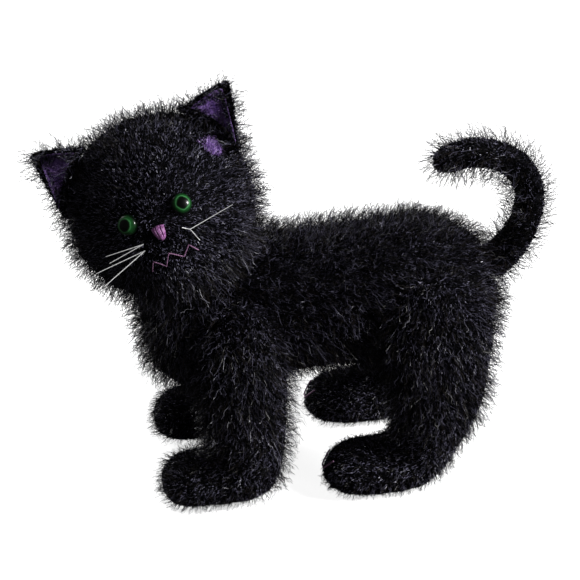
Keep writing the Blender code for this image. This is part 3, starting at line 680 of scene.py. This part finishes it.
# Painted highlight: the pale violet fibres are a paler copy of the violet polyester that stands in for
# where its nap catches light.
VIOLET_FIBRES = (
    (0.00, pile_fibre("deep_violet_polyester_nap", "#6f4f98", 0.6, 0.2)),
    (0.35, pile_fibre("violet_polyester_nap", "#a17dc8", 0.5, 0.3)),
    (0.80, pile_fibre("violet_polyester_nap_painted_highlight", "#c6a8ea", 0.45, 0.4)),
)
violet_tree = pile_tree("violet_nap", VIOLET_FIBRES)
violet_lining = purple_nap()
head_search = tree_of([skins["head"]])
for step, side_name in enumerate(("left", "right")):
    ear = "ear_" + side_name
    back = voxel_skin(ear + "_back", ("ear_back_" + side_name,), EAR_CELL, EAR_ROUNDS)
    back.data.materials.append(knit_backing)
    lining = voxel_skin(ear + "_lining", ("ear_lining_" + side_name,), LINING_CELL, LINING_ROUNDS)
    lining.data.materials.append(violet_lining)
    points, normals = points_and_normals(back)
    rise = points.mean(0) - np.array(joints[ear + "_fold"]["pos_m"])
    nap = rise / np.linalg.norm(rise) + 0.8 * (points - points.mean(0)) / EAR_HALF
    to_lining = room_outside(points, normals, tree_of([lining]))
    to_head = np.array([head_search.find_nearest(Vector(spot))[3] for spot in points])
    at_seam = 1 - ease(to_head, SEAM_NEAR, SEAM_FAR)
    outside = ease(to_lining, 0.0008, 0.002)
    ear_piles = []
    for layer, fibres, length, crowd, sizes in EAR_LAYERS:
        lengths = np.minimum(length + SEAM_LONGER * at_seam, 0.0008 + to_lining)
        cover = outside * (crowd + (CROWD_AT_SEAM - crowd) * at_seam)
        comb(back, nap * (1 - 1.2 * at_seam)[:, None], lengths, cover)
        ear_piles.append(grow(f"{ear}_{layer}", back, fibres, PILE_SEED + 40 + step, sizes))
    points, normals = points_and_normals(lining)
    facing = points.mean(0) - points_and_normals(back)[0].mean(0)
    inside, up_ear = from_sewn_sides(points, rise, facing)
    front_side = normals @ (facing / np.linalg.norm(facing)) > 0.2
    violet_past_rim_and_fold_shade = ease(inside, RIM_WIDTH - 0.0008, RIM_WIDTH + 0.0006) * (1 - ease(up_ear, *BLACK_TIP))
    # Painted shade: low in the lining the violet nap is thinned and the black rim nap grows in its place,
    # to paint the shade of the fold.
    violet_past_rim_and_fold_shade = violet_past_rim_and_fold_shade * (FOLD_SHADE_CROWD + (1 - FOLD_SHADE_CROWD) * ease(up_ear, *FOLD_PAINTED_SHADE))
    comb(lining, points.mean(0) - points, np.full(len(points), EAR_NAP), (1 - violet_past_rim_and_fold_shade) * front_side)
    ear_piles.append(grow(ear + "_rim_nap", lining, nap_tree, PILE_SEED + 50 + step, RIM_NAP))
    comb(lining, np.tile(rise, (len(points), 1)), np.full(len(points), LINING_NAP), violet_past_rim_and_fold_shade * front_side)
    violet_pile = grow(ear + "_violet_nap", lining, violet_tree, PILE_SEED + 60 + step, VIOLET_NAP)
    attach(violet_pile, ear)
    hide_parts("ear_back_" + side_name)
    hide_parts("ear_lining_" + side_name)
    for piece in [back, lining] + ear_piles:
        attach(piece, ear)

points, normals = points_and_normals(skins["head"])
patch = 1 - ease(away_from(points, violet_middle), 0.8 * VIOLET_REACH, 1.15 * VIOLET_REACH)
comb(skins["head"], np.tile(up, (len(points), 1)), np.full(len(points), PATCH_NAP), patch)
ear_patch = grow("ear_left_patch", skins["head"], violet_tree, PILE_SEED + 70, VIOLET_NAP)
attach(ear_patch, "head")


# ---------------------------------------------------------------------------------------------
# Eyes. Safety eyes: a clear acrylic button moulded over a green printed ring and a black pupil,
# with a post through the skin and a lock washer pressed on it inside.

EYE_ROUND, DOME_STEPS = 48, 17
EYE_EDGE, POST_END = 0.0007, 0.001
PUPIL_SHARE, RING_SHARE = 0.48, 0.90


def eye_enamel():
    """Moulded acrylic over print: glossy, its green ring paler along the middle, black pupil and rim."""
    made, tree, output = blank_material("clear_acrylic_over_green_print")
    out = add_node(tree, "ShaderNodeAttribute", {"attribute_name": "rim_share"}).outputs["Fac"]
    place = add_node(tree, "ShaderNodeTexCoord")
    fleck = add_node(tree, "ShaderNodeTexNoise", {}, {
        "Vector": place.outputs["Object"], "Scale": 480.0, "Detail": 2.0})
    stirred = add_node(tree, "ShaderNodeMath", {"operation": "MULTIPLY_ADD"}, {
        0: fleck.outputs["Fac"], 1: 0.24, 2: -0.12})
    share = add_node(tree, "ShaderNodeMath", {"operation": "ADD"}, {0: out, 1: stirred.outputs[0]})
    print_ring = add_node(tree, "ShaderNodeValToRGB", {}, {"Fac": share.outputs[0]})
    stops = ((0.0, "#010101"), (PUPIL_SHARE, "#010201"), (PUPIL_SHARE + 0.08, "#0b2b10"), (0.64, "#417f4b"),
             (0.71, "#174b20"), (RING_SHARE, "#092a0f"), (1.0, "#020803"))
    ramp = print_ring.color_ramp.elements
    ramp[0].position, ramp[0].color = stops[0][0], hex_colour(stops[0][1])
    ramp[1].position, ramp[1].color = stops[-1][0], hex_colour(stops[-1][1])
    for position, code in stops[1:-1]:
        ramp.new(position).color = hex_colour(code)
    shader = add_node(tree, "ShaderNodeBsdfPrincipled", {}, {
        "Base Color": print_ring.outputs["Color"], "Roughness": 0.35, "Specular IOR Level": 0.1,
        "Coat Weight": 0.25, "Coat Roughness": 0.03})
    tree.links.new(shader.outputs[0], output.inputs["Surface"])
    return made


def turned_button(name, middle, axis, profile, finish):
    """A body turned about an axis from (radius, height) pairs that run from its top to its back."""
    turn = axis.to_track_quat("Z", "Y").to_matrix()
    work = bmesh.new()
    share = work.verts.layers.float.new("rim_share")
    widest = max(radius for radius, _ in profile)
    rings = []
    for radius, height in profile:
        if radius == 0:
            spots = [Vector((0, 0, height))]
        else:
            turns = [math.tau * i / EYE_ROUND for i in range(EYE_ROUND)]
            spots = [Vector((radius * math.cos(a), radius * math.sin(a), height)) for a in turns]
        ring = [work.verts.new(Vector(middle) + turn @ spot) for spot in spots]
        for vert in ring:
            vert[share] = radius / widest
        rings.append(ring)
    for near, far in zip(rings, rings[1:]):
        for i in range(EYE_ROUND):
            k = (i + 1) % EYE_ROUND
            corners = [near[i % len(near)], far[i % len(far)], far[k % len(far)], near[k % len(near)]]
            work.faces.new(list(dict.fromkeys(corners)))
    bmesh.ops.recalc_face_normals(work, faces=work.faces)
    for face in work.faces:
        face.smooth = True
    mesh = bpy.data.meshes.new(name)
    work.to_mesh(mesh)
    work.free()
    mesh.materials.append(finish)
    return put(name, mesh)


def washer_plastic():
    """Moulded white polythene: satin, with a faint flow mottle."""
    made, tree, output = blank_material("moulded_white_polythene")
    place = add_node(tree, "ShaderNodeTexCoord")
    mottle = add_node(tree, "ShaderNodeTexNoise", {}, {"Vector": place.outputs["Object"], "Scale": 400.0})
    tint = add_node(tree, "ShaderNodeValToRGB", {}, {"Fac": mottle.outputs["Fac"]})
    tint.color_ramp.elements[0].color = hex_colour("#d9d9d4")
    tint.color_ramp.elements[1].color = hex_colour("#eeeeea")
    shader = add_node(tree, "ShaderNodeBsdfPrincipled", {}, {
        "Base Color": tint.outputs["Color"], "Roughness": 0.45})
    tree.links.new(shader.outputs[0], output.inputs["Surface"])
    return made


eye_print = eye_enamel()
washer_finish = washer_plastic()
for side_name in ("left", "right"):
    node = frame["nodes"]["eye_" + side_name]
    washer = frame["nodes"]["eye_washer_" + side_name]
    eye_points = points_and_normals(node)[0]
    washer_middle = points_and_normals(washer)[0].mean(0)
    axis = eye_points.mean(0) - washer_middle
    axis = axis / np.linalg.norm(axis)
    heights = (eye_points - washer_middle) @ axis
    radii = np.linalg.norm(eye_points - washer_middle - np.outer(heights, axis), axis=1)
    radius, top, foot = radii.max(), heights.max(), heights[radii > 0.9 * radii.max()].min()
    post, post_foot = radii[heights < heights.min() + POST_END].max(), heights.min()
    profile = [(0, top)]
    profile += [(radius * math.sin(a), foot + EYE_EDGE + (top - foot - EYE_EDGE) * math.cos(a))
                for a in [math.radians(4 + 86 * i / DOME_STEPS) for i in range(DOME_STEPS + 1)]]
    profile += [(radius, foot), (post, foot), (post, post_foot), (0, post_foot)]
    eye = turned_button("safety_eye_" + side_name, washer_middle, Vector(axis), profile, eye_print)
    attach(eye, "head")
    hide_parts("eye_" + side_name)
    washer.data.materials.clear()
    washer.data.materials.append(washer_finish)


# ---------------------------------------------------------------------------------------------
# Face embroidery and whiskers. The nose is satin stitch in pink rayon, the mouth one zigzag run
# of mauve cotton, and the whiskers are doubled nylon filament knotted through the cheeks. Two
# claws are stitched on each hind foot in the mouth's thread.

NOSE_ACROSS, NOSE_DOWN, NOSE_HALF_TOP, NOSE_HALF_HEIGHT = -0.6, 15.8, 2.7, 3.2
NOSE_STITCHES, NOSE_SLITS = 11, (3, 7)
MOUTH_LIFT = 0.95
MOUTH_STOPS = (
    (-11.9, -28.7), (-9.4, -25.2), (-5.2, -29), (-0.1, -25.1), (3.6, -29.7), (8, -25.6), (10.7, -29.1))
WHISKERS = {
    "right_upper": ((8.6, -17.3), ((-36, 27.5, -15.1), (-36, 27.1, -18.6))),
    "right_lower": ((9.2, -20.1), ((-36, 34.7, -20.4), (-37, 33.1, -27.3))),
    "left": ((-13.1, -19.4), ((-42, -36, -17.7), (-44, -16.3, -26.4))),
}
WHISKER_KNOT, WHISKER_STEPS = (-10.2, -17.4), 8
CLAW_CELL, CLAW_ROUNDS = 0.00016, 3


def thread_tree():
    """Nodes that turn a guide's edges into twisted two-ply thread or plain filament."""
    tree = bpy.data.node_groups.new("thread", "GeometryNodeTree")
    face = tree.interface
    face.new_socket("Guide", in_out="INPUT", socket_type="NodeSocketGeometry")
    for name, value in (("Thread radius", 0.0004), ("Ply width", 1.35), ("Twist pitch", 0.0016),
                        ("Tip share", 1.0), ("Step", 0.0003)):
        face.new_socket(name, in_out="INPUT", socket_type="NodeSocketFloat").default_value = value
    face.new_socket("Finish", in_out="INPUT", socket_type="NodeSocketMaterial")
    face.new_socket("Thread", in_out="OUTPUT", socket_type="NodeSocketGeometry")
    given = tree.nodes.new("NodeGroupInput").outputs

    def sums(operation, a, b):
        return add_node(tree, "ShaderNodeMath", {"operation": operation}, {0: a, 1: b}).outputs[0]

    curve = add_node(tree, "GeometryNodeMeshToCurve", {}, {"Mesh": given["Guide"]}).outputs[0]
    curve = add_node(tree, "GeometryNodeResampleCurve", {"mode": "LENGTH"}, {
        "Curve": curve, "Length": given["Step"]}).outputs[0]
    along = add_node(tree, "GeometryNodeSplineParameter")
    turns = sums("DIVIDE", along.outputs["Length"], given["Twist pitch"])
    curve = add_node(tree, "GeometryNodeSetCurveTilt", {}, {
        "Curve": curve, "Tilt": sums("MULTIPLY", turns, math.tau)}).outputs[0]
    slim = sums("MULTIPLY", along.outputs["Factor"], sums("SUBTRACT", 1.0, given["Tip share"]))
    width = sums("MULTIPLY", given["Thread radius"], sums("SUBTRACT", 1.0, slim))
    curve = add_node(tree, "GeometryNodeSetCurveRadius", {}, {"Curve": curve, "Radius": width}).outputs[0]
    ply = add_node(tree, "GeometryNodeCurvePrimitiveCircle", {}, {"Resolution": 8, "Radius": 1.0})
    broad = add_node(tree, "ShaderNodeCombineXYZ", {}, {"X": given["Ply width"], "Y": 0.8, "Z": 1.0})
    ply = add_node(tree, "GeometryNodeTransform", {}, {
        "Geometry": ply.outputs[0], "Scale": broad.outputs[0]})
    tube = add_node(tree, "GeometryNodeCurveToMesh", {}, {
        "Curve": curve, "Profile Curve": ply.outputs[0], "Fill Caps": True})
    if "Scale" in tube.inputs:
        tree.links.new(add_node(tree, "GeometryNodeInputRadius").outputs[0], tube.inputs["Scale"])
    whole = add_node(tree, "GeometryNodeRealizeInstances", {}, {"Geometry": tube.outputs[0]}).outputs[0]
    whole = add_node(tree, "GeometryNodeSetShadeSmooth", {}, {"Geometry": whole}).outputs[0]
    whole = add_node(tree, "GeometryNodeSetMaterial", {}, {
        "Geometry": whole, "Material": given["Finish"]}).outputs[0]
    tree.links.new(whole, tree.nodes.new("NodeGroupOutput").inputs["Thread"])
    return tree


def sew(name, paths, finish, sizes):
    """Thread along these paths, as one plain mesh object."""
    mesh = bpy.data.meshes.new(name)
    spots, edges = [], []
    for path in paths:
        edges += [(len(spots) + i, len(spots) + i + 1) for i in range(len(path) - 1)]
        spots += [tuple(spot) for spot in path]
    mesh.from_pydata(spots, edges, [])
    made = put(name, mesh)
    thread = made.modifiers.new("thread", "NODES")
    thread.node_group = sewing
    sockets = {s.name: s.identifier for s in sewing.interface.items_tree if s.in_out == "INPUT"}
    thread[sockets["Finish"]] = finish
    for key, value in sizes.items():
        thread[sockets[key]] = value
    return settled(made)


def embroidery_thread(name, dark, light, roughness):
    """Rayon or cotton embroidery thread: its fine fibres break each ply into short paler flecks."""
    made, tree, output = blank_material(name)
    place = add_node(tree, "ShaderNodeTexCoord")
    fibres = add_node(tree, "ShaderNodeTexNoise", {}, {
        "Vector": place.outputs["Object"], "Scale": 1500.0, "Detail": 3.0})
    tint = add_node(tree, "ShaderNodeValToRGB", {}, {"Fac": fibres.outputs["Fac"]})
    tint.color_ramp.elements[0].position = 0.35
    tint.color_ramp.elements[0].color = hex_colour(dark)
    tint.color_ramp.elements[1].position = 0.65
    tint.color_ramp.elements[1].color = hex_colour(light)
    bump = add_node(tree, "ShaderNodeBump", {}, {
        "Strength": 0.5, "Distance": 0.0001, "Height": fibres.outputs["Fac"]})
    shader = add_node(tree, "ShaderNodeBsdfPrincipled", {}, {
        "Base Color": tint.outputs["Color"], "Roughness": roughness, "Sheen Weight": 0.2,
        "Normal": bump.outputs["Normal"]})
    tree.links.new(shader.outputs[0], output.inputs["Surface"])
    return made


def nylon_filament():
    """Drawn nylon: white and smooth, with a faint painted glow."""
    made, tree, output = blank_material("white_drawn_nylon_painted_glow")
    place = add_node(tree, "ShaderNodeTexCoord")
    flow = add_node(tree, "ShaderNodeTexNoise", {}, {"Vector": place.outputs["Object"], "Scale": 300.0})
    tint = add_node(tree, "ShaderNodeValToRGB", {}, {"Fac": flow.outputs["Fac"]})
    tint.color_ramp.elements[0].color = hex_colour("#e6e6e8")
    tint.color_ramp.elements[1].color = hex_colour("#ffffff")
    # Painted glow: the emission lights the whiskers though they are no lamp.
    shader = add_node(tree, "ShaderNodeBsdfPrincipled", {}, {
        "Base Color": tint.outputs["Color"], "Roughness": 0.3, "Emission Color": hex_colour("#ffffff"),
        "Emission Strength": 0.3})
    tree.links.new(shader.outputs[0], output.inputs["Surface"])
    return made


def on_face(across, high, lift):
    """The point this far over the face, in mm right of and above the head's middle."""
    start = head_frame @ (Vector((-80, across, high)) * HEAD_MM)
    heading = head_frame.to_3x3() @ Vector((1, 0, 0))
    hit, normal, _, _ = head_search.ray_cast(start, heading)
    return hit + normal * lift * HEAD_MM


def mixed(a, b, share):
    """The point this share of the way from a to b."""
    return tuple(x + (y - x) * share for x, y in zip(a, b))


sewing = thread_tree()
pink_rayon = embroidery_thread("pink_rayon_satin_thread", "#7c3474", "#be80c0", 0.4)
mauve_cotton = embroidery_thread("mauve_cotton_thread", "#5a3458", "#aa7aa2", 0.7)
white_nylon = nylon_filament()

stitches = []
for i in range(NOSE_STITCHES):
    place = 2 * i / (NOSE_STITCHES - 1) - 1
    top_edge = -NOSE_DOWN + NOSE_HALF_HEIGHT * (1 - 0.12 * place * place)
    low_edge = -NOSE_DOWN - NOSE_HALF_HEIGHT * math.sqrt(1 - 0.85 * place * place)
    across_top, across_low = NOSE_ACROSS + NOSE_HALF_TOP * place, NOSE_ACROSS + NOSE_HALF_TOP * place * 0.72
    path = []
    for step in range(9):
        share = step / 8
        raised = 0.25 + 1.5 * math.sin(math.pi * share) ** 0.5 * (1 - 0.35 * place * place)
        raised *= 0.45 if i in NOSE_SLITS else 1.0
        path.append(on_face(*mixed((across_top, top_edge), (across_low, low_edge), share), raised))
    stitches.append(path)
nose_stitches = sew("nose_satin_stitches", stitches, pink_rayon, {
    "Thread radius": 0.00036, "Ply width": 1.15, "Twist pitch": 0.006})

mouth_path = []
for here, there in zip(MOUTH_STOPS, MOUTH_STOPS[1:]):
    mouth_path += [on_face(*mixed(here, there, step / 5), MOUTH_LIFT) for step in range(5)]
mouth_path.append(on_face(*MOUTH_STOPS[-1], MOUTH_LIFT))
mouth_run = sew("mouth_zigzag_run", [mouth_path], mauve_cotton, {"Thread radius": 0.00024})

for piece, node, slot in ((nose_stitches, "nose_embroidery", "nose_thread"),
                          (mouth_run, "mouth_thread", "mauve_thread")):
    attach(piece, "head")
    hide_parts(node)
for name, (knot, tips) in WHISKERS.items():
    root = on_face(*knot, 0.4)
    paths = []
    for tip in tips:
        reach = head_frame @ (Vector(tip) * HEAD_MM) - root
        paths.append([root + reach * (step / WHISKER_STEPS) for step in range(WHISKER_STEPS + 1)])
    if name == "left":
        hook = [on_face(*mixed(WHISKER_KNOT, knot, step / 4), 1.2 - 0.2 * step) for step in range(4)]
        paths[1] = hook + paths[1]
    whisker = sew("whisker_filaments_" + name, paths, white_nylon, {
        "Thread radius": 0.00028, "Ply width": 0.8, "Tip share": 0.65, "Step": 0.002})
    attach(whisker, "head")
    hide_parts("whiskers_" + name)
for side_name in ("left", "right"):
    claws = voxel_skin(
        "claw_stitches_" + side_name, ("claw_thread_" + side_name,), CLAW_CELL, CLAW_ROUNDS)
    claws.data.materials.append(mauve_cotton)
    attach(claws, "leg_hind_" + side_name)
    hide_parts("claw_thread_" + side_name)


# ---------------------------------------------------------------------------------------------
# Floor, light and camera. The floor is a sheet of pale matt paper with no edge in sight. One soft
# box stands to the right and above, and a larger, weaker one fills in from behind. The camera
# stands above the toy's left side.

CAMERA_AIM = neck_place + Vector((0.066, 0.004, -0.032))
CAMERA_AZIMUTH, CAMERA_RISE, CAMERA_AWAY = -8.5, 30.0, 0.95
SENSOR, LENS, LENS_SHIFT = 36.0, 117.93, (-0.0517, 0.0086)
ROOM_LIGHT = 0.10
FLOOR_HALF = 3.0
FLOOR_GLOW, FLOOR_SEEN, FLOOR_BOUNCE = 0.9, 0.75, 0.05
LIGHT_AIM = (0, 0, 0.1)
WHITE = (1.0, 1.0, 1.0, 1.0)

floor_mesh = bpy.data.meshes.new("floor")
floor_corners = [(x * FLOOR_HALF, y * FLOOR_HALF, 0) for x, y in ((-1, -1), (1, -1), (1, 1), (-1, 1))]
floor_mesh.from_pydata(floor_corners, [], [(0, 1, 2, 3)])
floor = put("floor", floor_mesh)
floor_paper, tree, output = blank_material("pale_matt_paper")
seen = add_node(tree, "ShaderNodeLightPath").outputs["Is Camera Ray"]
glow = add_node(tree, "ShaderNodeMath", {"operation": "MULTIPLY"}, {0: seen, 1: FLOOR_GLOW})
pale = add_node(tree, "ShaderNodeMath", {"operation": "MULTIPLY_ADD"}, {
    0: seen, 1: FLOOR_SEEN, 2: FLOOR_BOUNCE})
shader = add_node(tree, "ShaderNodeBsdfPrincipled", {}, {
    "Base Color": pale.outputs[0], "Roughness": 0.9, "Emission Color": WHITE,
    "Emission Strength": glow.outputs[0]})
tree.links.new(shader.outputs[0], output.inputs["Surface"])
floor_mesh.materials.append(floor_paper)

world = bpy.data.worlds.new("studio")
bpy.context.scene.world = world
world.use_nodes = True
tree = world.node_tree
tree.nodes.clear()
seen = add_node(tree, "ShaderNodeLightPath").outputs["Is Camera Ray"]
room_light = add_node(tree, "ShaderNodeMath", {"operation": "MULTIPLY_ADD"}, {
    0: seen, 1: 1.0 - ROOM_LIGHT, 2: ROOM_LIGHT})
sky = add_node(tree, "ShaderNodeBackground", {}, {"Color": WHITE, "Strength": room_light.outputs[0]})
tree.links.new(sky.outputs[0], tree.nodes.new("ShaderNodeOutputWorld").inputs["Surface"])
bpy.context.scene.view_settings.view_transform = "Standard"


def soft_light(name, place, size, power):
    """A square soft box at a place, facing the toy: its size in metres and its power in watts."""
    lamp = bpy.data.lights.new(name, "AREA")
    lamp.size = size
    lamp.energy = power
    made = bpy.data.objects.new(name, lamp)
    bpy.context.scene.collection.objects.link(made)
    made.location = place
    made.rotation_euler = (Vector(LIGHT_AIM) - Vector(place)).to_track_quat("-Z", "Y").to_euler()


soft_light("key", (1.15, -0.48, 0.82), 0.35, 36.0)
soft_light("back_fill", (-0.75, 1.1, 0.5), 0.9, 16.0)

lens = bpy.data.cameras.new("camera")
lens.sensor_width = SENSOR
lens.lens = LENS
lens.shift_x, lens.shift_y = LENS_SHIFT
camera = bpy.data.objects.new("camera", lens)
bpy.context.scene.collection.objects.link(camera)
azimuth, rise = math.radians(CAMERA_AZIMUTH), math.radians(CAMERA_RISE)
level = math.cos(rise)
from_aim = Vector((math.sin(azimuth) * level, -math.cos(azimuth) * level, math.sin(rise)))
camera.location = CAMERA_AIM + from_aim * CAMERA_AWAY
camera.rotation_euler = from_aim.to_track_quat("Z", "Y").to_euler()
bpy.context.scene.camera = camera
